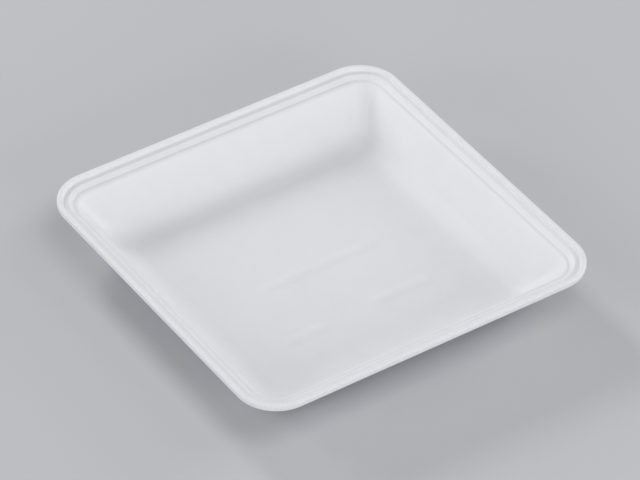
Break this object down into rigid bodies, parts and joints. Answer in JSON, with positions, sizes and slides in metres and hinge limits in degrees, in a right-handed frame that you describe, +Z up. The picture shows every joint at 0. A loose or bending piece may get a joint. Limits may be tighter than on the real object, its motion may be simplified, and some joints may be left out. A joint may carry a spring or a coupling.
{
  "type": "foam meat tray",
  "caption": "Shallow square foam tray with rounded corners, a stepped rim and sloping walls, for packing fresh meat or other food under film.",
  "frame": {"origin": "centre of the plane that the tray stands on", "axes": "+Z up through the open side; X and Y along the two pairs of straight sides"},
  "size_m": [0.18, 0.18, 0.0265],
  "materials": {
    "foam": "satin white expanded polystyrene foam skin"
  },
  "bodies": {
    "root": {"tray": "foam"}
  },
  "joints": []
}
